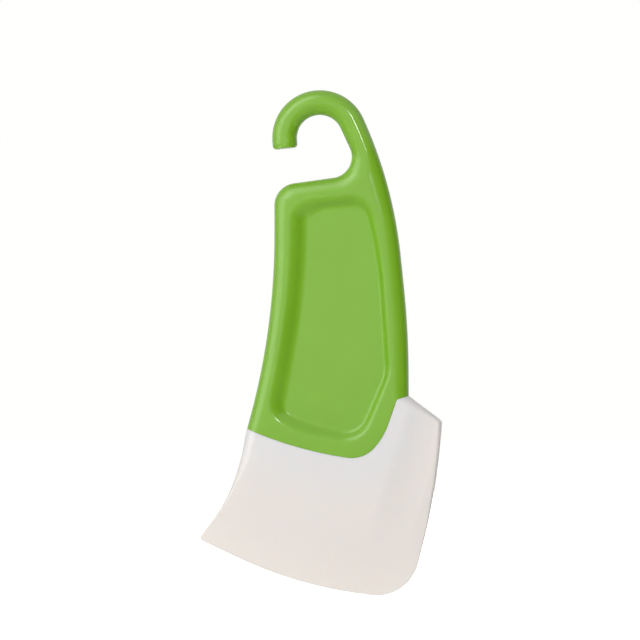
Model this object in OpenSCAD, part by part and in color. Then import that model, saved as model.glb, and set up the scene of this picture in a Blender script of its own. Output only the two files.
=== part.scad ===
// Pan scraper: a green grip with a hanging hook and a white silicone blade, both moulded over one stiff
// insert. Sizes are in millimetres. The scraper hangs from its hook: +Z is up, the front faces -Y, and the
// origin is the centre of the hook's seat. Outlines are drawn flat, as seen from the front, and stood up.

/* [Hook] */
// Radius of the hook's inside, where it sits on a rail
hook_r = 8.2; // [7:0.1:9.5]
// Width of the hook's band, seen from the front
hook_w = 9; // [8.6:0.1:10.5]
// Direction of the hook's open end from its centre, in degrees
hook_end = 185; // [178:1:190]
// How far the blunt tip runs straight down past the end of the hook's curve
hook_tip_len = 2.9; // [2.6:0.1:4.5]
// How much higher the tip is on its inside
hook_tip_rise = 0.9; // [0:0.1:1.5]
// Corner radius at the blunt tip
hook_tip_r = 1.5; // [0.8:0.1:1.8]
// Depth of the flat land that bears on the rail, cut into the band's round section
seat_cut = 0.3; // [0.2:0.05:0.5]
// Lean of the neck's outer side from upright, in degrees
neck_lean = 24; // [22:1:27]
// How much the neck widens downward, in degrees
neck_taper = 2; // [0:0.5:4]
// Radius where the neck runs into the shoulder
neck_r = 7.6; // [5:0.1:8.5]

/* [Grip] */
// Hook centre down to the shoulder's left end
shoulder_drop = 17.3; // [16:0.1:20]
// How much higher the shoulder is at the neck
shoulder_rise = 4.4; // [3:0.1:6]
// Radius of the shoulder's left corner
shoulder_r = 8.1; // [5:0.1:10]
// Hook centre to the grip's left side
grip_left = 16.4; // [15:0.1:19]
// Hook centre to the grip's right side
grip_right = 32; // [31:0.1:36]
// Hook centre down to the left end of the joint with the blade
grip_len = 104.6; // [100:0.2:116]
// How far the left side flares out on its way to the joint
grip_flare = 9.8; // [7:0.1:12]
// Hook centre down to where the left side turns outward
left_turn = 67.4; // [58:0.2:76]
// Radius of that hollow turn
left_r = 250; // [180:5:260]
// Hook centre down to where the right side stands upright
right_turn = 70; // [60:0.5:80]
// Radius of the bowed right side
right_r = 160; // [100:5:175]
// Thickness of the rim, the hook and the blade's root
rim_t = 8; // [7.4:0.1:10]
// Width of the rounding on every long edge
round_w = 4.1; // [3.2:0.1:4.2]

/* [Joint] */
// How far the joint sags below its left end
joint_sag = 11.3; // [9:0.1:13]
// Hook centre out to the lowest corner of the joint
joint_low = 15.6; // [13:0.1:17]
// Radius of that corner
joint_r = 11; // [7:0.5:12]
// Radius of the joint's long bowed stretch on the left
joint_bow_r = 140; // [90:5:150]
// How far the joint's right end lies above its left end
joint_rise = 11.8; // [9:0.1:14]
// Width of the joint's short step on the right
joint_step = 4.4; // [3.5:0.1:5.5]
// Radius where that step turns down
joint_step_r = 1.2; // [0.6:0.1:1.6]

/* [Pocket] */
// Depth of the thumb pocket in each face
pocket_depth = 2.3; // [1.6:0.1:2.5]
// Flat and rounding outside the pocket on the left
rim_left = 4.2; // [3.6:0.1:6]
// Flat and rounding outside the pocket on the right
rim_right = 5.9; // [5.2:0.1:8]
// Flat and rounding outside the pocket beside the neck
rim_neck = 9.2; // [8.4:0.1:11]
// Flat and rounding between the shoulder and the pocket
rim_top = 5.1; // [4.6:0.1:7]
// Flat and rounding between the pocket and the joint
rim_bottom = 4.8; // [4.6:0.1:7]
// How much higher the pocket's top is beside the neck
pocket_rise = 2.7; // [2:0.1:4]
// Hook centre down to where the pocket's left side turns outward
pocket_turn = 52; // [44:0.5:60]
// Hook centre down to where the pocket's right side turns inward
pocket_narrow = 84.5; // [78:0.5:90]
// Corner radius of the pocket at its rim
pocket_r = 8; // [6:0.5:9]
// Radius of the pocket's bowed lower end
pocket_bow_r = 47; // [36:1:50]
// Width of the sloping wall on the left
wall_left = 8.2; // [5:0.1:9]
// Width of the sloping wall at the top
wall_top = 4.9; // [3:0.1:6]
// Width of the sloping wall on the right
wall_right = 3; // [2.4:0.1:4]
// Width of the sloping wall at the bottom
wall_bottom = 4.4; // [3:0.1:5]

/* [Blade] */
// Left end of the joint down to the sharp tip
tip_len = 39.8; // [34:0.2:46]
// Hook centre out to the sharp tip
tip_out = 43.9; // [40:0.1:48]
// Corner radius of the sharp tip
tip_r = 1.6; // [0.8:0.1:3]
// Radius of the hollow left side of the blade
blade_left_r = 62; // [50:1:66]
// Left end of the joint down to the lower right corner, before it is rounded
blade_len = 62; // [58:0.2:70]
// Radius of the lower right corner
corner_r = 15.5; // [10:0.5:16]
// How far that corner stands in from the blade's shoulder
corner_in = 12; // [8:0.1:15]
// Radius of the scraping edge
edge_r = 150; // [120:5:155]
// Hook centre out to the middle of the scraping edge
edge_mid = 9.4; // [6:0.1:13]
// How much higher the middle of the scraping edge is than its right end
edge_rise = 5.9; // [5:0.1:8]
// Hook centre out to the blade's shoulder on the right
blade_right = 44; // [42:0.1:48]
// How far that shoulder lies above the left end of the joint
blade_rise = 2.7; // [1:0.1:4]
// Corner radius of that shoulder
blade_shoulder_r = 1.4; // [0.8:0.1:3]
// Radius of the bowed right side of the blade
blade_right_r = 230; // [150:10:300]
// How far below the shoulder the right side turns inward
side_turn = 23; // [18:0.5:30]
// How far in from the shoulder the right side has come there
side_turn_in = 1.5; // [0.8:0.1:2]
// Thickness along the scraping edge
edge_t = 1.2; // [0.8:0.1:2]
// Length over which the blade thins down to the scraping edge
bevel_len = 36; // [30:0.5:42]
// Thickness at the blade's shoulder on the right
side_t = 5.6; // [4.6:0.1:7]
// Hook centre out to the top of the soft ridge, where the right side starts to thin
ridge_out = 30.5; // [29:0.1:33]
// Lean of that ridge from upright, in degrees
ridge_lean = 16.4; // [12:0.2:20]

/* [Insert] */
// Thickness of the stiff insert
core_t = 1.8; // [1.2:0.1:2.2]
// Cover of the grip over the insert's outer edge
core_cover = 3.1; // [2.8:0.1:3.4]
// Length of the insert's tongue in the blade's root
tongue_len = 13; // [11:0.5:15]
// Cover of the blade over the tongue's outer edge
tongue_cover = 6; // [5:0.1:7]
// Thickness of the blade's lap inside the mouth of the grip
lap_t = 4.4; // [3.6:0.1:5]
// Length of that lap
lap_len = 3.4; // [2.4:0.1:3.8]
// Cover of the grip over the lap's outer edge
lap_cover = 2.2; // [1.8:0.1:2.5]
// Diameter of the windows that key the mouldings to the insert
window_d = 5; // [3:0.5:6]
// Spacing of those windows
window_pitch = 12; // [9:0.5:14]
// Hook centre out to the row of windows in the web
window_out = 6; // [3:0.5:9]

/* [Hidden] */

// Largest turn and length of a step along an arc, and the turn of a step across a rounded edge
ARC_STEP = 7.5;
LONG_STEP = 9;
ROUND_STEP = 15;
// Steps down the pocket's wall and how rounded it is, and steps along and across the blade's taper
WALL_STEPS = 8;
WALL_EASE = 0.6;
TAPER_STEPS = 4;
TAPER_STEP = 6;
// Facets of a round window
WINDOW_FACETS = 40;
// Reach of the taper's cutter inward from the scraping edge, and to the right and left of the ridge
TAPER_IN = 90;
TAPER_RIGHT = 30;
TAPER_LEFT = 78;
// Places on straight lines between corners, as shares of the way across and of the way down: the hollow
// turn of the blade's left side, and the turn of the joint's bowed stretch
BLADE_TURN = [0.284, 0.58];
BOW_TURN = [0.42, 0.655];
// Second, wider turn of the joint's low corner, out and up from the first, and its radius, as shares of
// that corner's radius
KNEE = [0.66, 0.75];
KNEE_R = 2.3;
// Slope of the joint's short step
STEP_SLOPE = 0.3;
// Smallest radius that a corner keeps when its outline is drawn in
LEAST_R = 0.4;
// Reach of cutters past what they cut, and how far the lap runs into the blade to join it
OVER = 60;
ROOT = 1;

hook_out = hook_r + hook_w;
inner_r = hook_r - seat_cut;
inner_lean = neck_lean + neck_taper;
web_t = rim_t - 2 * pocket_depth;
joint_end = [-grip_left - grip_flare, -grip_len];
joint_floor = -grip_len - joint_sag;
notch = [grip_right, joint_rise - grip_len];
tip = [-tip_out, -grip_len - tip_len];
corner = [blade_right - corner_in, -grip_len - blade_len];
blade_shoulder = [blade_right, blade_rise - grip_len];

// Reading an outline, which is a list of corners [x, y, radius] in anticlockwise order
function xy(c) = [c[0], c[1]];
function before(c, i) = c[(i + len(c) - 1) % len(c)];
function after(c, i) = c[(i + 1) % len(c)];
function way(a, b) = (xy(b) - xy(a)) / norm(xy(b) - xy(a));
function left_of(v) = [-v[1], v[0]];
function turn_between(a, b, c) =
    let (u = way(a, b), v = way(b, c))
    atan2(cross(u, v), u * v);
function turn_at(c, i) = turn_between(before(c, i), c[i], after(c, i));

// Radius r of corner b, or less where the shorter edge beside it, short of room, can't take it
function fitting_r(a, b, c, r, room) =
    min(r, (min(norm(b - a), norm(c - b)) - room) / tan(abs(turn_between(a, b, c)) / 2));

// Corner i, moved in by d_in from the edge before it and by d_out from the edge after it
function moved_corner(c, i, d_in, d_out) =
    let (
        a = left_of(way(before(c, i), c[i])),
        b = left_of(way(c[i], after(c, i))),
        s = cross(a, b),
        shift = [d_in * b[1] - d_out * a[1], d_out * a[0] - d_in * b[0]] / s
    )
    [c[i][0] + shift[0], c[i][1] + shift[1], max(LEAST_R, c[i][2] - sign(s) * min(d_in, d_out))];

// An outline drawn in by d[i] from the edge after corner i, or by the same everywhere
function drawn_in(c, d) =
    [for (i = [0 : len(c) - 1]) moved_corner(c, i, d[(i + len(c) - 1) % len(c)], d[i])];
function all_in(c, d) = drawn_in(c, [for (i = c) d]);

// How many points each corner needs
function steps(c) =
    [for (i = [0 : len(c) - 1])
        let (turn = abs(turn_at(c, i)))
        max(1, ceil(turn / ARC_STEP), ceil(turn * PI / 180 * c[i][2] / LONG_STEP))];

// Centre of the arc that rounds corner i
function arc_centre(c, i) =
    let (a = way(before(c, i), c[i]), turn = turn_at(c, i), r = c[i][2])
    xy(c[i]) - a * r * tan(abs(turn) / 2) + left_of(a) * sign(turn) * r;

// Points along an outline, n[i] of them round corner i
function rounded(c, n) =
    [for (i = [0 : len(c) - 1])
        let (
            a = way(before(c, i), c[i]),
            turn = turn_at(c, i),
            from = atan2(a[1], a[0]) - 90 * sign(turn)
        )
        for (k = [0 : n[i] - 1])
            let (at = from + turn * (k + 0.5) / n[i])
            arc_centre(c, i) + c[i][2] * [cos(at), sin(at)]];
function outline(c) = rounded(c, steps(c));

// A flat ring of points, lifted to height z
function lifted(ring, z) = [for (p = ring) [p[0], p[1], z]];

// Corners of the n edges that touch a circle about the hook's centre between two directions
function arc_corners(r, a0, a1, n) =
    let (part = (a1 - a0) / n, reach = r / cos(part / 2))
    [for (i = [0 : n - 1])
        let (at = a0 + part * (i + 0.5))
        [reach * cos(at), reach * sin(at), r]];

// Where the line that touches a circle about the hook's centre in direction a crosses height y
function lean_x(r, a, y) = (r - y * sin(a)) / cos(a);

// Where the line through two points crosses height y
function cross_x(a, b, y) = a[0] + (b[0] - a[0]) * (y - a[1]) / (b[1] - a[1]);

// A point between two others, by its share of the way across and of the way down
function between(a, b, share) = [a[0] + share[0] * (b[0] - a[0]), a[1] + share[1] * (b[1] - a[1])];

// Outline of grip and blade together. The hook's round back comes first, in equal edges, then its tip.
HOOK_EDGES = 3;
TIP_END = HOOK_EDGES;
hook_tip = hook_out * sin(hook_end) - hook_tip_len;
hook_tip_in = hook_tip + hook_tip_rise;
shoulder_end = shoulder_rise - shoulder_drop;
blade_turn = between(joint_end, tip, BLADE_TURN);
blade_side = blade_shoulder - [side_turn_in, side_turn];
blade_side_r = fitting_r(corner, blade_side, blade_shoulder, blade_right_r, blade_shoulder_r);
right_top = [lean_x(hook_out, neck_lean, -shoulder_drop), -shoulder_drop];
right_low = [grip_right, -right_turn];
silhouette = concat(
    arc_corners(hook_out, neck_lean, hook_end, HOOK_EDGES),
    [
        [lean_x(hook_out, hook_end, hook_tip), hook_tip, hook_tip_r],
        [lean_x(inner_r, hook_end, hook_tip_in), hook_tip_in, hook_tip_r]
    ],
    arc_corners(inner_r, hook_end, inner_lean, HOOK_EDGES),
    [
        [lean_x(inner_r, inner_lean, shoulder_end), shoulder_end, neck_r],
        [-grip_left, -shoulder_drop, shoulder_r],
        [-grip_left, -left_turn, left_r],
        [joint_end[0], joint_end[1], LEAST_R],
        [blade_turn[0], blade_turn[1], blade_left_r],
        [tip[0], tip[1], tip_r],
        [-edge_mid, corner[1] + edge_rise, edge_r],
        [corner[0], corner[1], corner_r],
        [blade_side[0], blade_side[1], blade_side_r],
        [blade_shoulder[0], blade_shoulder[1], blade_shoulder_r],
        [notch[0], notch[1], LEAST_R],
        [right_low[0], right_low[1], 2 * right_r],
        [right_top[0], right_top[1], right_r]
    ]
);
EDGE_CORNER = 2 * HOOK_EDGES + 8;
SHOULDER = 2 * HOOK_EDGES + 3;
below_hook = concat(
    [for (i = [SHOULDER : len(silhouette) - 2]) silhouette[i]],
    [[right_top[0], right_top[1], LEAST_R]]
);

// Outline of all that lies above the joint. Its end edges run on past the outline of the scraper.
bow = between(joint_end, [joint_low, joint_floor], BOW_TURN);
knee = [joint_low, joint_floor] + joint_r * KNEE;
step_in = notch - joint_step * [1, STEP_SLOPE];
far_left = joint_end + (joint_end - bow);
far_right = notch + (notch - step_in) * OVER / joint_step;
joint_side = [
    [far_left[0], far_left[1], LEAST_R],
    [bow[0], bow[1], joint_bow_r],
    [joint_low, joint_floor, joint_r],
    [knee[0], knee[1], joint_r * KNEE_R],
    [step_in[0], step_in[1], joint_step_r],
    [far_right[0], far_right[1], LEAST_R],
    [far_right[0], OVER, LEAST_R],
    [far_left[0], OVER, LEAST_R]
];

// Outline of the pocket at the rim, from its top left corner, and the width of the wall below each edge
pocket_top = -shoulder_drop - rim_top;
pocket_low_left = joint_end + [rim_bottom, rim_bottom];
pocket_low_right = [joint_low, joint_floor + rim_bottom];
pocket_bow = between(pocket_low_left, pocket_low_right, BOW_TURN);
pocket_mid = cross_x(right_top, right_low, -pocket_narrow / 2) - rim_right;
pocket = [
    [-grip_left + rim_left, pocket_top, pocket_r],
    [-grip_left + rim_left, -pocket_turn, left_r],
    [pocket_low_left[0], pocket_low_left[1], pocket_r],
    [pocket_bow[0], pocket_bow[1], pocket_bow_r],
    [pocket_low_right[0], pocket_low_right[1], pocket_r],
    [grip_right - rim_right, -pocket_narrow, pocket_r],
    [pocket_mid, -pocket_narrow / 2, right_r],
    [right_top[0] - rim_neck, pocket_top + pocket_rise, pocket_r]
];
pocket_walls =
    [wall_left, wall_left, wall_bottom, wall_bottom, wall_right, wall_right, wall_right, wall_top];

// Half thickness of the blade: it thins toward the scraping edge, and more to the right of the ridge
edge_centre = arc_centre(silhouette, EDGE_CORNER);
ridge_top = [ridge_out, blade_shoulder[1]];
across_ridge = [cos(ridge_lean), -sin(ridge_lean)];
along_ridge = [-sin(ridge_lean), -cos(ridge_lean)];
side_loss = (rim_t - side_t) / (rim_t - edge_t) / ((blade_shoulder - ridge_top) * across_ridge);
function half_t(r, off) =
    (edge_t + (rim_t - edge_t) * min(1, max(0, edge_r - r) / bevel_len)
        * (1 - side_loss * max(0, off))) / 2;

// The point at distance off from the ridge and distance r from the centre of the scraping edge
function taper_point(r, off) =
    let (
        start = ridge_top + off * across_ridge - edge_centre,
        back = start * along_ridge,
        run = sqrt(back * back - start * start + r * r) - back,
        p = edge_centre + start + run * along_ridge
    )
    [p[0], p[1], half_t(r, off)];

// A closed skin through rings of equally many points
module skin_through(rings) {
    n = len(rings[0]);
    last = len(rings) - 1;
    polyhedron(
        points = [for (ring = rings) for (p = ring) p],
        faces = concat(
            [[for (i = [0 : n - 1]) i]],
            [for (k = [0 : last - 1]) for (i = [0 : n - 1])
                [k * n + i, (k + 1) * n + i, (k + 1) * n + (i + 1) % n]],
            [for (k = [0 : last - 1]) for (i = [0 : n - 1])
                [k * n + i, (k + 1) * n + (i + 1) % n, k * n + (i + 1) % n]],
            [[for (i = [n - 1 : -1 : 0]) last * n + i]]
        )
    );
}

// The whole scraper as one plate with round edges, of half thickness 1
module plate() {
    n = steps(silhouette);
    widths = [for (i = [0 : len(silhouette) - 1]) i == TIP_END ? hook_tip_r : round_w];
    skin_through([for (a = [-90 : ROUND_STEP : 90])
        lifted(rounded(drawn_in(silhouette, widths * (1 - cos(a))), n), sin(a))]);
}

// What the front pocket takes away, down to the web, in units of half the rim's thickness. The wall
// starts a little above the rim.
function wall_ring(down) = rounded(drawn_in(pocket, pocket_walls * down), steps(pocket));
function wall_drop(down) = down + WALL_EASE * ((1 - cos(180 * down)) / 2 - down);
module pocket_cut() {
    downs = [for (k = [WALL_STEPS : -1 : 0]) (k - 0.5) / (WALL_STEPS - 0.5)];
    skin_through(concat(
        [for (down = downs) lifted(wall_ring(down), 1 - (1 - web_t / rim_t) * wall_drop(down))],
        [lifted(wall_ring(downs[WALL_STEPS]), 2)]
    ));
}

// What the taper takes off the front of the blade
module taper_cut() {
    near = edge_r - bevel_len;
    radii = concat(
        [edge_r - TAPER_IN],
        [for (k = [0 : TAPER_STEPS]) near + bevel_len * k / TAPER_STEPS],
        [edge_r + OVER]
    );
    skin_through([for (off = [TAPER_RIGHT : -TAPER_STEP : -TAPER_LEFT])
        concat(
            [for (r = radii) taper_point(r, off)],
            lifted([taper_point(edge_r + OVER, off), taper_point(edge_r - TAPER_IN, off)], OVER)
        )]);
}

// Both faces of the scraper are cut alike
module front_and_back() {
    children();
    mirror([0, 0, 1])
        children();
}

// Real thicknesses in units of half the rim's thickness, and back
module in_half_rims() {
    scale([1, 1, 2 / rim_t])
        children();
}
module at_rim_thickness() {
    resize([0, 0, rim_t])
        children();
}

// A flat shape, extruded evenly to both sides
module sheet(t) {
    linear_extrude(t, center = true)
        children();
}

// Everything that lies above the joint, moved up by d
module above_joint(d) {
    polygon(outline(all_in(joint_side, d)));
}

// An outline, drawn in by d
module inside(c, d) {
    polygon(outline(all_in(c, d)));
}

// Stiff insert: follows the outline, runs through hook and web, and ends in the tongue
module core_plate() {
    rows = floor((grip_len + pocket_top - wall_top - 2 * window_d) / window_pitch);
    keys = floor((joint_low - joint_end[0]) / window_pitch);
    tongue_run = [joint_end[0] - joint_low, joint_sag];
    sheet(core_t)
        difference() {
            union() {
                intersection() {
                    inside(silhouette, core_cover);
                    above_joint(0);
                }
                intersection() {
                    inside(below_hook, tongue_cover);
                    above_joint(-tongue_len);
                }
            }
            for (k = [0 : rows])
                translate([window_out, pocket_top - wall_top - window_d - k * window_pitch])
                    circle(d = window_d, $fn = WINDOW_FACETS);
            for (k = [0 : keys])
                translate([joint_low, joint_floor - tongue_len / 2]
                    + tongue_run * k * window_pitch / norm(tongue_run))
                    circle(d = window_d, $fn = WINDOW_FACETS);
        }
}

// The blade's lap in the mouth of the grip
module lap() {
    sheet(lap_t)
        intersection() {
            inside(silhouette, lap_cover);
            difference() {
                above_joint(-ROOT);
                above_joint(lap_len);
            }
        }
}

module stood_up() {
    rotate([90, 0, 0])
        children();
}

module core() {
    color("gainsboro")
        stood_up()
            core_plate();
}

// Overmould: hook, rim and web, open at the joint, with the seat cut true
module grip() {
    color([0.54, 0.73, 0.3])
        stood_up()
            difference() {
                at_rim_thickness()
                    difference() {
                        intersection() {
                            plate();
                            sheet(rim_t)
                                above_joint(0);
                        }
                        front_and_back()
                            pocket_cut();
                        in_half_rims() {
                            core_plate();
                            lap();
                        }
                    }
                cylinder(r = hook_r, h = 2 * rim_t, center = true);
            }
}

// Silicone: the tapered plate below the joint, and its lap
module blade() {
    color([0.93, 0.91, 0.89])
        stood_up()
            at_rim_thickness()
                difference() {
                    union() {
                        difference() {
                            plate();
                            sheet(rim_t)
                                above_joint(0);
                            in_half_rims()
                                front_and_back()
                                    taper_cut();
                        }
                        in_half_rims()
                            lap();
                    }
                    in_half_rims()
                        core_plate();
                }
}

core();
grip();
blade();
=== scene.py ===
"""Pan scraper, hanging by its hook: a glossy green grip and a milky silicone blade over a stiff insert."""

import math

import bpy
import numpy as np
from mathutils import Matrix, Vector
from mathutils.geometry import delaunay_2d_cdt
from mathutils.kdtree import KDTree


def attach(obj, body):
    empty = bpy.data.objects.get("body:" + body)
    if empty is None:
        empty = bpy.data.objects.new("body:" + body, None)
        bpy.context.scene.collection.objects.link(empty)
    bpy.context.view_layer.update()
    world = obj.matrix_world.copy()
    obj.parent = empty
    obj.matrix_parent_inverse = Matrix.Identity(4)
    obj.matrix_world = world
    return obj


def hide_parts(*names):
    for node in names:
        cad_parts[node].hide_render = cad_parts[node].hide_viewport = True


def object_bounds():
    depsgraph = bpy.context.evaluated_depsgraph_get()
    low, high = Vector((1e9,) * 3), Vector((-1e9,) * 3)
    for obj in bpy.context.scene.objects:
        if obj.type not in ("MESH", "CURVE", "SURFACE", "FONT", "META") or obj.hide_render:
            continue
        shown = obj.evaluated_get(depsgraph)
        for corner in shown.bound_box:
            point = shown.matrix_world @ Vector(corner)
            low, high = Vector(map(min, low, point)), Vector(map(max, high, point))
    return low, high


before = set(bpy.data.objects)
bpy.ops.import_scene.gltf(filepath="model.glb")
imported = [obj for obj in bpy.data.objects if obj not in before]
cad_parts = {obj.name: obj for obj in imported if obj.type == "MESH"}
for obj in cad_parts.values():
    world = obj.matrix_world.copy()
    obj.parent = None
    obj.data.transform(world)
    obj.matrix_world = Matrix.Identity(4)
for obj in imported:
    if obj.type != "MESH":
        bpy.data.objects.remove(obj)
cad_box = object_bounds()

# Studio: a long lens straight in front, level with the scraper's middle, where 1 mm is 2.8 pixels.
# White surroundings, a pale floor, soft boxes in front, left, overhead and behind, a small lamp at upper
# right for the fine lights on the gloss, and a dark screen on the right for its right-hand slopes.
scene = bpy.context.scene
scene.view_settings.view_transform = "Standard"
camera_data = bpy.data.cameras.new("camera")
camera_data.sensor_width = 36
camera_data.lens = 156.25
camera_data.clip_end = 20
camera = bpy.data.objects.new("camera", camera_data)
camera.location = (0.00004, -1.0, -0.06556)
camera.rotation_euler = (math.radians(90), 0, 0)
scene.collection.objects.link(camera)
scene.camera = camera

AMBIENT = 0.32
WHITE = (1.0, 1.0, 0.985, 1)
world = bpy.data.worlds.new("white surroundings")
scene.world = world
world.use_nodes = True
nodes, links = world.node_tree.nodes, world.node_tree.links
nodes.clear()
rays = nodes.new("ShaderNodeLightPath")
seen = nodes.new("ShaderNodeMath")
seen.operation = "MAXIMUM"
links.new(rays.outputs["Is Camera Ray"], seen.inputs[0])
links.new(rays.outputs["Is Glossy Ray"], seen.inputs[1])
seen_through = nodes.new("ShaderNodeMath")
seen_through.operation = "MAXIMUM"
links.new(seen.outputs[0], seen_through.inputs[0])
links.new(rays.outputs["Is Transmission Ray"], seen_through.inputs[1])
strength = nodes.new("ShaderNodeMapRange")
strength.inputs["To Min"].default_value = AMBIENT
links.new(seen_through.outputs[0], strength.inputs["Value"])
surroundings = nodes.new("ShaderNodeBackground")
surroundings.inputs["Color"].default_value = WHITE
links.new(strength.outputs["Result"], surroundings.inputs["Strength"])
world_out = nodes.new("ShaderNodeOutputWorld")
links.new(surroundings.outputs[0], world_out.inputs["Surface"])

MIDDLE = Vector((0, 0, -0.07))
# Share of a lamp's width, in from each edge, over which it comes up to full brightness
LAMP_FADE = 0.4


def feather(tree):
    """How bright a lamp's cloth is: full in the middle, fading to nothing at its edges."""
    place = tree.nodes.new("ShaderNodeNewGeometry")
    axes = tree.nodes.new("ShaderNodeSeparateXYZ")
    tree.links.new(place.outputs["Parametric"], axes.inputs[0])
    both = tree.nodes.new("ShaderNodeMath")
    both.operation = "MULTIPLY"
    for i, axis in enumerate("XY"):
        middle = tree.nodes.new("ShaderNodeMath")
        middle.operation = "PINGPONG"
        middle.inputs[1].default_value = 0.5
        tree.links.new(axes.outputs[axis], middle.inputs[0])
        fade = tree.nodes.new("ShaderNodeMapRange")
        fade.interpolation_type = "SMOOTHSTEP"
        fade.inputs["From Max"].default_value = LAMP_FADE
        tree.links.new(middle.outputs[0], fade.inputs["Value"])
        tree.links.new(fade.outputs["Result"], both.inputs[i])
    return both.outputs[0]


def lamp(name, place, width, height, radiance):
    """A rectangular soft box that faces the scraper's middle, with that radiance at its own middle."""
    data = bpy.data.lights.new(name, "AREA")
    data.shape = "RECTANGLE"
    data.size, data.size_y = width, height
    data.energy = radiance * math.pi * width * height
    data.use_nodes = True
    glow = data.node_tree.nodes["Emission"]
    data.node_tree.links.new(feather(data.node_tree), glow.inputs["Strength"])
    box = bpy.data.objects.new(name, data)
    box.location = place
    box.rotation_euler = (MIDDLE - Vector(place)).to_track_quat("-Z", "Y").to_euler()
    scene.collection.objects.link(box)
    return box


lamp("front box", (-0.1, -1.7, 0.0), 1.3, 1.6, 0.6)
lamp("left box", (-1.15, -0.95, 0.35), 2.0, 2.0, 2.2).visible_diffuse = False
lamp("front fill", (-0.78, -1.45, 0.45), 1.6, 1.6, 6.5).visible_glossy = False
lamp("overhead fill", (0.1, -0.9, 1.3), 1.6, 1.2, 0.9).visible_glossy = False
lamp("back fill", (0.5, 1.6, 0.3), 1.6, 1.6, 6).visible_glossy = False
lamp("overhead sheen", (-0.45, -1.1, 0.92), 1.4, 1.6, 2.7).visible_diffuse = False
lamp("small lamp", (0.42, -1.54, 0.325), 0.07, 0.22, 140).visible_diffuse = False


def stage_sheet(name, corners, colour, roughness):
    """A flat four-cornered sheet of matt studio furniture, through its corners, and its shader."""
    mesh = bpy.data.meshes.new(name)
    mesh.from_pydata(corners, [], [(0, 1, 2, 3)])
    sheet = bpy.data.objects.new(name, mesh)
    scene.collection.objects.link(sheet)
    material = bpy.data.materials.new(name)
    material.use_nodes = True
    shader = material.node_tree.nodes["Principled BSDF"]
    shader.inputs["Base Color"].default_value = colour
    shader.inputs["Roughness"].default_value = roughness
    shader.inputs["Specular IOR Level"].default_value = 0.0
    mesh.materials.append(material)
    return sheet, material.node_tree, shader


FLOOR = -0.24
REACH = 3
floor, paper, paper_shader = stage_sheet(
    "pale floor",
    [(-REACH, -REACH, FLOOR), (REACH, -REACH, FLOOR), (REACH, REACH, FLOOR), (-REACH, REACH, FLOOR)],
    (0.9, 0.9, 0.885, 1),
    0.9,
)
paper_rays = paper.nodes.new("ShaderNodeLightPath")
paper_glow = paper.nodes.new("ShaderNodeMapRange")
paper_glow.inputs["To Max"].default_value = 0.8
paper.links.new(paper_rays.outputs["Is Camera Ray"], paper_glow.inputs["Value"])
paper.links.new(paper_glow.outputs["Result"], paper_shader.inputs["Emission Strength"])
paper_shader.inputs["Emission Color"].default_value = WHITE

# Share of the screen's width over which it comes up from clear to solid, so that its left edge is soft
SCREEN_FADE = 0.64
screen, felt, felt_shader = stage_sheet(
    "dark screen",
    [(0.15, -1.5, -0.9), (0.9, 0.1, -0.9), (0.9, 0.1, 0.35), (0.15, -1.5, 0.2)],
    (0.01, 0.01, 0.01, 1),
    1.0,
)
felt_place = felt.nodes.new("ShaderNodeTexCoord")
felt_across = felt.nodes.new("ShaderNodeSeparateXYZ")
felt.links.new(felt_place.outputs["Generated"], felt_across.inputs[0])
felt_weight = felt.nodes.new("ShaderNodeMapRange")
felt_weight.interpolation_type = "SMOOTHSTEP"
felt_weight.inputs["From Max"].default_value = SCREEN_FADE
felt.links.new(felt_across.outputs["X"], felt_weight.inputs["Value"])
felt.links.new(felt_weight.outputs["Result"], felt_shader.inputs["Alpha"])
screen.visible_camera = False
screen.visible_diffuse = False

# Grip: the overmould, hard glossy green plastic shot round the insert in one piece. Hook, fat rounded rim
# and the thin web in the pocket are one skin. It ends flush against the blade at the joint.
MM = 0.001
SEAT_R = 8.2
HOOK_OUT = 17.2
HOOK_END = 185
NECK_LEAN = 24
NECK_IN = 25
TIP_R = 1.5
HALF_RIM = 4.0
POCKET_DEPTH = 2.3
# Longest step between two points of an outline, and widest turn
STEP = 0.4
TURN = math.radians(8)


def around_hook(radius, start, stop, count=3):
    """Corners, each of that radius, of the edges that touch a circle about the hook's centre."""
    part = math.radians(stop - start) / count
    reach = radius / math.cos(part / 2)
    turns = [math.radians(start) + part * (i + 0.5) for i in range(count)]
    return [(reach * math.cos(a), reach * math.sin(a), radius) for a in turns]


def touching(radius, direction, height, corner_r):
    """The corner at that height on the line that touches the hook's circle in a direction."""
    a = math.radians(direction)
    return ((radius - height * math.sin(a)) / math.cos(a), height, corner_r)


# Corners (x, height, radius) of the whole scraper's outline, anticlockwise from the hook's right side
JOINT_LEFT = (-26.2, -104.6, 0)
NOTCH = (32.0, -92.8, 0)
TIP_OUT = touching(HOOK_OUT, HOOK_END, -4.4, TIP_R)
TIP_IN = touching(SEAT_R, HOOK_END, -3.5, TIP_R)
OUTLINE = [
    *around_hook(HOOK_OUT, NECK_LEAN, HOOK_END), TIP_OUT, TIP_IN,
    *around_hook(SEAT_R, HOOK_END, NECK_IN), touching(SEAT_R, NECK_IN, -12.9, 7.6),
    (-16.4, -17.3, 8.1), (-16.4, -67.4, 250), JOINT_LEFT,
    (-31.2, -127.7, 62), (-43.9, -144.4, 1.6), (-9.4, -160.7, 150), (32.0, -166.6, 15.5),
    (42.5, -124.9, 230), (44.0, -101.9, 1.4), NOTCH,
    (32.0, -70.0, 320), touching(HOOK_OUT, NECK_LEAN, -17.3, 160),
]
JOINT = [
    JOINT_LEFT, (-8.6, -112.0, 140), (15.6, -115.9, 11),
    (22.9, -107.65, 25.3), (27.6, -94.1, 1.2), NOTCH,
]
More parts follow.
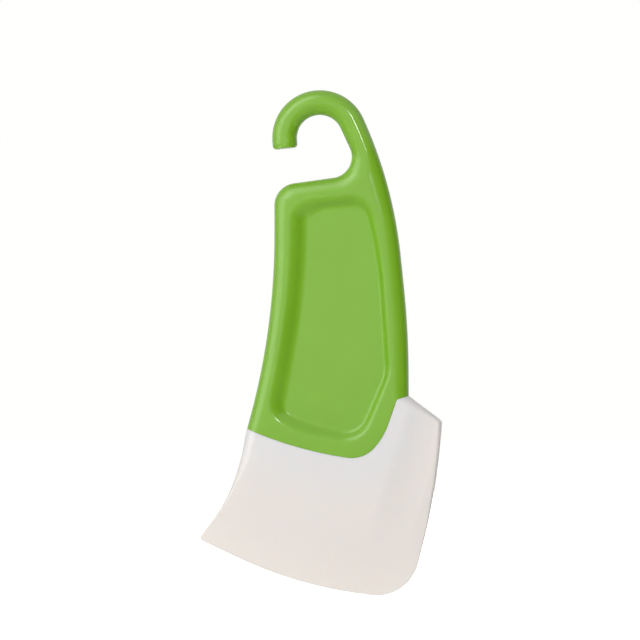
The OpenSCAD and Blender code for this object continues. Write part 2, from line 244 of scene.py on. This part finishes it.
# The pocket's crest on the rim, and the edge of its floor
CREST = [
    (-12.2, -22.4, 10), (-12.2, -52.0, 250), (-20.4, -100.8, 10), (-5.9, -107.2, 47),
    (15.6, -111.1, 10), (26.1, -84.5, 14), (23.2, -42.2, 160), (17.3, -19.7, 8),
]
POCKET_FLOOR = [
    (-4.0, -26.6, 6.5), (-4.0, -52.6, 258), (-12.4, -98.0, 3.5), (-3.7, -102.9, 43),
    (13.6, -106.1, 8), (23.0, -85.0, 14), (20.2, -42.5, 157), (15.9, -24.7, 5),
]


def rounded(corners, closed=True):
    """Points along an outline with rounded corners, at most STEP apart, and each point's corner."""
    points, owners = [], []
    count = len(corners)
    for i, (x, y, r) in enumerate([*corners, corners[0]] if closed else corners):
        here = np.array([x, y])
        arc = [here]
        if r > 0 and (closed or 0 < i < count - 1):
            before = np.array(corners[(i - 1) % count][:2])
            after = np.array(corners[(i + 1) % count][:2])
            a = (here - before) / np.linalg.norm(here - before)
            b = (after - here) / np.linalg.norm(after - here)
            sweep = math.atan2(a[0] * b[1] - a[1] * b[0], a @ b)
            start = here - a * r * math.tan(abs(sweep) / 2)
            centre = start + np.array([-a[1], a[0]]) * math.copysign(r, sweep)
            turns = max(math.ceil(abs(sweep) * r / STEP), math.ceil(abs(sweep) / TURN), 1)
            first = math.atan2(*(start - centre)[::-1])
            angles = [first + sweep * k / turns for k in range(turns + 1)]
            arc = [centre + r * np.array([math.cos(a), math.sin(a)]) for a in angles]
        if points:
            pieces = math.ceil(np.linalg.norm(arc[0] - points[-1]) / STEP)
            last = points[-1]
            points += [last + (arc[0] - last) * k / pieces for k in range(1, pieces)]
            owners += [i] * (pieces - 1)
        if i < count:
            points += arc
            owners += [i] * len(arc)
    return np.array(points), np.array(owners) % count


# Neighbours in a line that lie further apart than this aren't joined
GAP = 1.0


def distance(points, line, closed=True):
    """Each point's distance to a line of closely spaced points, gaps in it left open."""
    tree = KDTree(len(line))
    for i, p in enumerate(line):
        tree.insert((*p, 0), i)
    tree.balance()
    nearest = np.array([tree.find((*p, 0))[1] for p in points])
    best = np.full(len(points), np.inf)
    for a, b in ((nearest - 1, nearest), (nearest, nearest + 1)):
        if closed:
            a, b = a % len(line), b % len(line)
        else:
            a, b = np.clip(a, 0, len(line) - 1), np.clip(b, 0, len(line) - 1)
        ab = line[b] - line[a]
        ab[np.linalg.norm(ab, axis=1) > GAP] = 0
        ap = points - line[a]
        t = np.clip((ap * ab).sum(1) / np.maximum((ab * ab).sum(1), 1e-12), 0, 1)
        best = np.minimum(best, np.linalg.norm(ap - t[:, None] * ab, axis=1))
    return best


def inside(points, loop):
    """Which points lie inside a closed loop."""
    found = np.zeros(len(points), bool)
    for (ax, ay), (bx, by) in zip(loop, np.roll(loop, -1, 0)):
        if ay != by:
            crosses = (ay > points[:, 1]) != (by > points[:, 1])
            found ^= crosses & (points[:, 0] < ax + (points[:, 1] - ay) * (bx - ax) / (by - ay))
    return found


def inward_of(line, closed=True):
    """Unit vectors to the left of a line of points, which is inward on an outline."""
    along = np.roll(line, -1, 0) - np.roll(line, 1, 0)
    if not closed:
        along[0], along[-1] = line[1] - line[0], line[-1] - line[-2]
    return np.stack([-along[:, 1], along[:, 0]], 1) / np.linalg.norm(along, axis=1)[:, None]


def ramp(share, first, last):
    """A straight ramp from 0 to 1 whose first and last parts are rounded to level."""
    whole = 2 - first - last
    start = share**2 / first
    end = whole - (1 - share) ** 2 / last
    rise = np.where(share < first, start, np.where(share > 1 - last, end, 2 * share - first))
    return rise / whole


def soft_min(a, b, blend):
    """The smaller of two heights, with the crease between them rounded."""
    mix = np.clip(0.5 + 0.5 * (b - a) / blend, 0, 1)
    return b * (1 - mix) + a * mix - blend * mix * (1 - mix)


skin, skin_owner = rounded(OUTLINE)
skin_inward = inward_of(skin)
joint, _ = rounded(JOINT, closed=False)
crest, _ = rounded(CREST)
pocket_floor, _ = rounded(POCKET_FLOOR)
TIP_MIDDLE = np.array([(TIP_OUT[0] + TIP_IN[0]) / 2, (TIP_OUT[1] + TIP_IN[1]) / 2])
# The hook's blunt end: skin this near to the tip's middle, with its inward direction at least this much up
TIP_REACH = 6
UPWARD = 0.7
near_tip = np.linalg.norm(skin - TIP_MIDDLE, axis=1) < TIP_REACH
blunt_end = near_tip & (skin_inward[:, 1] > UPWARD)
# Width of the rounding at the hook's blunt end, and how full all the rounded edges are
TIP_ROUND = 0.5
ROUND_POWER = 2.3


def round_width(height):
    """How wide the edge's rounding is: it spans half the hook's band, and is widest along the grip."""
    return np.interp(height, (-112, -94, -30, -20, -13, -5), (4.5, 6.0, 6.0, 7.0, 7.0, 4.5))


def round_over(depth, width):
    """Half thickness at a depth inside an edge whose rounding has that width."""
    return HALF_RIM * np.sqrt(1 - np.clip(1 - depth / width, 0, 1) ** ROUND_POWER)


def rounding(points):
    """Half thickness that the rounded edges leave, also at the hook's blunt end."""
    sides = round_over(distance(points, skin[~blunt_end]), round_width(points[:, 1]))
    end_depth = distance(points, skin[blunt_end], closed=False)
    end = round_over(end_depth, TIP_ROUND) + np.maximum(end_depth - TIP_ROUND, 0)
    close = np.minimum(np.minimum(sides, end), 1.0)
    return soft_min(sides, end, TIP_ROUND * close / 2 + 0.001)


SEAM_DEPTH = 0.12
SEAM_SIDE = 0.3


def seam(points):
    """How far each point sinks into the fine line where grip and blade meet."""
    return SEAM_DEPTH * np.maximum(1 - distance(points, joint, closed=False) / SEAM_SIDE, 0) ** 2


# Shares of the pocket's slope that are rounded at its crest and at its foot
CREST_SHARE = 0.6
FOOT_SHARE = 0.4


def pocket_drop(points):
    """How far the thumb pocket sinks below the rim."""
    to_crest = distance(points, crest)
    to_floor = distance(points, pocket_floor)
    share = np.where(inside(points, pocket_floor), 1.0, to_crest / (to_crest + to_floor))
    return np.where(inside(points, crest), POCKET_DEPTH * ramp(share, CREST_SHARE, FOOT_SHARE), 0.0)


def grip_half(points):
    return np.maximum(rounding(points) - pocket_drop(points) - seam(points), 0.0)


# The CAD outline's flats leave its box about a hundredth of a millimetre inside these true arcs, so
# points are held just inside that box
HELD_IN = 0.001
BOX_LOW, BOX_HIGH = (np.array([corner[0], corner[2]]) / MM for corner in cad_box)
BOX_LOW, BOX_HIGH = BOX_LOW + HELD_IN, BOX_HIGH - HELD_IN
# Rows of points round the edge and beside the joint, and how far points stay from other lines
ROUND_TURNS = [math.radians(a) for a in range(9, 90, 8)]
SEAM_ROWS = (-SEAM_SIDE, -0.2, -0.1, -0.04, 0.04, 0.1, 0.2, SEAM_SIDE)
ROW_ERROR = 0.02
ROUND_TO_JOINT = 0.4
SEAM_TO_SKIN = 0.04
POINT_TO_LOOP = 0.03
# The even field starts at this share of the rounding's width
FIELD_START = 0.8
# A finer field fills the hook's blunt end to this depth
FINE_SPACING = 0.18
FINE_DEPTH = 2.5
FINE_TO_SKIN = 0.1
SHARP_ANGLE = math.radians(60)


def moulding(name, loop, half, spacing):
    """A closed moulding, alike in front and behind, over a closed loop: rows of points follow the round
    edge and the joint, an even field of points fills the rest, and half gives the half thickness."""
    widths = round_width(skin[:, 1])
    rows = []
    for turn in ROUND_TURNS:
        depth = widths * (1 - math.cos(turn))
        row = skin + skin_inward * depth[:, None]
        true = np.abs(distance(row, skin) - depth) < ROW_ERROR
        rows.append(row[true & (distance(row, joint, closed=False) > ROUND_TO_JOINT)])
        depth = TIP_ROUND * (1 - math.cos(turn))
        row = skin[blunt_end] + skin_inward[blunt_end] * depth
        rows.append(row[np.abs(distance(row, skin) - depth) < ROW_ERROR])
    joint_left = inward_of(joint, closed=False)
    for depth in SEAM_ROWS:
        row = joint + joint_left * depth
        rows.append(row[distance(row, skin) > SEAM_TO_SKIN])
    low, high = loop.min(0), loop.max(0)
    x, y = np.meshgrid(
        np.arange(low[0], high[0], spacing), np.arange(low[1], high[1], spacing * math.sqrt(3) / 2)
    )
    x[1::2] += spacing / 2
    field = np.stack([x.ravel(), y.ravel()], 1)
    clear = distance(field, skin) > round_width(field[:, 1]) * FIELD_START
    rows.append(field[clear & (distance(field, joint, closed=False) > SEAM_SIDE + spacing / 2)])
    across = np.arange(-TIP_REACH, TIP_REACH, FINE_SPACING)
    x, y = np.meshgrid(across, across)
    fine = TIP_MIDDLE + np.stack([x.ravel(), y.ravel()], 1)
    end_depth = distance(fine, skin[blunt_end], closed=False)
    rows.append(fine[(end_depth < FINE_DEPTH) & (distance(fine, skin) > FINE_TO_SKIN)])
    inner = np.concatenate(rows)
    inner = inner[inside(inner, loop)]
    inner = inner[distance(inner, loop) > POINT_TO_LOOP]
    ring = [(i, (i + 1) % len(loop)) for i in range(len(loop))]
    out = delaunay_2d_cdt([Vector(p) for p in np.concatenate([loop, inner])], ring, [], 1, 1e-5)
    flat = np.clip(np.array([tuple(v) for v in out[0]]), BOX_LOW, BOX_HIGH)
    triangles = [tuple(f) for f in out[2]]
    edges = {(a, b) for f in triangles for a, b in zip(f, f[1:] + f[:1])}
    rim = [(a, b) for a, b in edges if (b, a) not in edges]
    height = half(flat)
    count = len(flat)
    points = [(x * MM, side * h * MM, z * MM) for side in (-1, 1) for (x, z), h in zip(flat, height)]
    faces = triangles + [tuple(count + i for i in reversed(f)) for f in triangles]
    faces += [(a, a + count, b + count, b) for a, b in rim]
    mesh = bpy.data.meshes.new(name)
    mesh.from_pydata(points, [], faces)
    mesh.update()
    mesh.shade_smooth()
    mesh.set_sharp_from_angle(angle=SHARP_ANGLE)
    piece = bpy.data.objects.new(name, mesh)
    scene.collection.objects.link(piece)
    return piece, flat


at_joint = int(np.where(skin_owner == OUTLINE.index(JOINT_LEFT))[0][-1])
at_notch = int(np.where(skin_owner == OUTLINE.index(NOTCH))[0][-1])
grip_loop = np.concatenate([skin[at_notch:], skin[:at_joint], joint[:-1]])
grip, _ = moulding("grip_moulding", grip_loop, grip_half, spacing=0.55)


def moulded_surface():
    """What a polished mould leaves on plastic: faint flow in the colour and a very shallow waviness."""
    group = bpy.data.node_groups.new("moulded surface", "ShaderNodeTree")
    for label in ("Flow Scale", "Wave Scale"):
        group.interface.new_socket(label, in_out="INPUT", socket_type="NodeSocketFloat")
    for label in ("Flow", "Height"):
        group.interface.new_socket(label, in_out="OUTPUT", socket_type="NodeSocketFloat")
    start = group.nodes.new("NodeGroupInput")
    end = group.nodes.new("NodeGroupOutput")
    place = group.nodes.new("ShaderNodeTexCoord")
    flow = group.nodes.new("ShaderNodeTexNoise")
    flow.inputs["Detail"].default_value = 3.0
    wave = group.nodes.new("ShaderNodeTexNoise")
    wave.inputs["Detail"].default_value = 1.0
    for noise, label in ((flow, "Flow Scale"), (wave, "Wave Scale")):
        group.links.new(place.outputs["Object"], noise.inputs["Vector"])
        group.links.new(start.outputs[label], noise.inputs["Scale"])
    group.links.new(flow.outputs["Fac"], end.inputs["Flow"])
    group.links.new(wave.outputs["Fac"], end.inputs["Height"])
    return group


surface_group = moulded_surface()


def moulded_material(name, dark, light, flow_scale, wave_scale, wave_depth, roughness):
    """A Principled material between two close tones, with its mould's waviness in the bump."""
    material = bpy.data.materials.new(name)
    material.use_nodes = True
    tree = material.node_tree
    shader = tree.nodes["Principled BSDF"]
    shader.inputs["Roughness"].default_value = roughness
    texture = tree.nodes.new("ShaderNodeGroup")
    texture.node_tree = surface_group
    texture.inputs["Flow Scale"].default_value = flow_scale
    texture.inputs["Wave Scale"].default_value = wave_scale
    tone = tree.nodes.new("ShaderNodeMix")
    tone.data_type = "RGBA"
    tone.inputs["A"].default_value = (*dark, 1)
    tone.inputs["B"].default_value = (*light, 1)
    tree.links.new(texture.outputs["Flow"], tone.inputs["Factor"])
    tree.links.new(tone.outputs["Result"], shader.inputs["Base Color"])
    bump = tree.nodes.new("ShaderNodeBump")
    bump.inputs["Strength"].default_value = 1.0
    bump.inputs["Distance"].default_value = wave_depth
    tree.links.new(texture.outputs["Height"], bump.inputs["Height"])
    tree.links.new(bump.outputs["Normal"], shader.inputs["Normal"])
    return material, shader, tone


green, _, _ = moulded_material(
    "glossy green plastic", (0.174, 0.394, 0.017), (0.2, 0.438, 0.021),
    flow_scale=60, wave_scale=55, wave_depth=0.00001, roughness=0.15,
)
grip.data.materials.append(green)
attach(grip, "root")
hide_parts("grip")

# Blade: milky silicone, moulded over the insert's tongue and flush with the grip. Full thickness at its
# root, it thins to the scraping edge, and more so to the right of a soft ridge.
EDGE_CENTRE = np.array([34.2, -15.4])
EDGE_R = 150.0
BEVEL_LEN = 36.0
HALF_EDGE = 0.6
RIDGE_TOP = np.array([30.5, -101.9])
RIDGE_LEAN = math.radians(16.4)
SIDE_WIDTH = 14.0
SIDE_LOSS = 0.0273
# Half the width over which the ridge is rounded, and the share of the bevel that eases into the root
RIDGE_SOFT = 2.0
ROOT_EASE = 0.1


def taper(points):
    """Half thickness of the blade's faces, before the edges are rounded."""
    radius = np.linalg.norm(points - EDGE_CENTRE, axis=1)
    left = np.clip((EDGE_R - radius) / BEVEL_LEN, 0, 1)
    eased = 1 - (1 + ROOT_EASE - left) ** 2 / (4 * ROOT_EASE)
    left = np.where(left > 1 - ROOT_EASE, eased, left)
    off = (points - RIDGE_TOP) @ np.array([math.cos(RIDGE_LEAN), -math.sin(RIDGE_LEAN)])
    over_ridge = (off + RIDGE_SOFT) ** 2 / (4 * RIDGE_SOFT)
    off = np.where(off < -RIDGE_SOFT, 0, np.where(off > RIDGE_SOFT, off, over_ridge))
    off = off * (2 - np.minimum(off / SIDE_WIDTH, 1))
    return HALF_EDGE + (HALF_RIM - HALF_EDGE) * left * (1 - SIDE_LOSS * off)


EDGE_BLEND = 0.25


def blade_half(points):
    height = soft_min(rounding(points), taper(points), EDGE_BLEND)
    return np.clip(height - seam(points), 0.0, HALF_RIM)


blade_loop = np.concatenate([skin[at_joint:at_notch], joint[::-1][:-1]])
blade, blade_flat = moulding("blade_moulding", blade_loop, blade_half, spacing=0.8)

# The insert's tongue shows through the blade's root as a whiter, cooler zone: fully over its upper half,
# then fading out by half its length beyond its end
TONGUE_LEN = 12.0
over_tongue = np.clip(1.5 - distance(blade_flat, joint, closed=False) / TONGUE_LEN, 0, 1)
tongue_data = blade.data.attributes.new("over tongue", "FLOAT", "POINT")
tongue_data.data.foreach_set("value", np.tile(over_tongue, 2).astype(np.float32))

silicone, silicone_shader, silicone_tone = moulded_material(
    "milky silicone", (0.768, 0.725, 0.695), (0.785, 0.742, 0.711),
    flow_scale=35, wave_scale=40, wave_depth=0.00002, roughness=0.38,
)
silicone_nodes, silicone_links = silicone.node_tree.nodes, silicone.node_tree.links
tongue_mask = silicone_nodes.new("ShaderNodeAttribute")
tongue_mask.attribute_name = "over tongue"
whiter = silicone_nodes.new("ShaderNodeMix")
whiter.data_type = "RGBA"
whiter.inputs["B"].default_value = (0.738, 0.72, 0.724, 1)
silicone_links.new(tongue_mask.outputs["Fac"], whiter.inputs["Factor"])
silicone_links.new(silicone_tone.outputs["Result"], whiter.inputs["A"])
silicone_links.new(whiter.outputs["Result"], silicone_shader.inputs["Base Color"])
silicone_shader.inputs["Subsurface Weight"].default_value = 0.4
silicone_shader.inputs["Subsurface Radius"].default_value = (1.0, 0.8, 0.6)
silicone_shader.inputs["Subsurface Scale"].default_value = 0.003
blade.data.materials.append(silicone)
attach(blade, "root")
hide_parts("blade")

# Insert: a flat plate of pale glass-filled nylon, inside grip and blade, which it locks together through
# its round windows. Nothing of it shows.
nylon, _, _ = moulded_material(
    "glass-filled nylon", (0.72, 0.71, 0.68), (0.8, 0.79, 0.76),
    flow_scale=400, wave_scale=900, wave_depth=0.00002, roughness=0.6,
)
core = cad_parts["core"]
core.data.materials.clear()
core.data.materials.append(nylon)
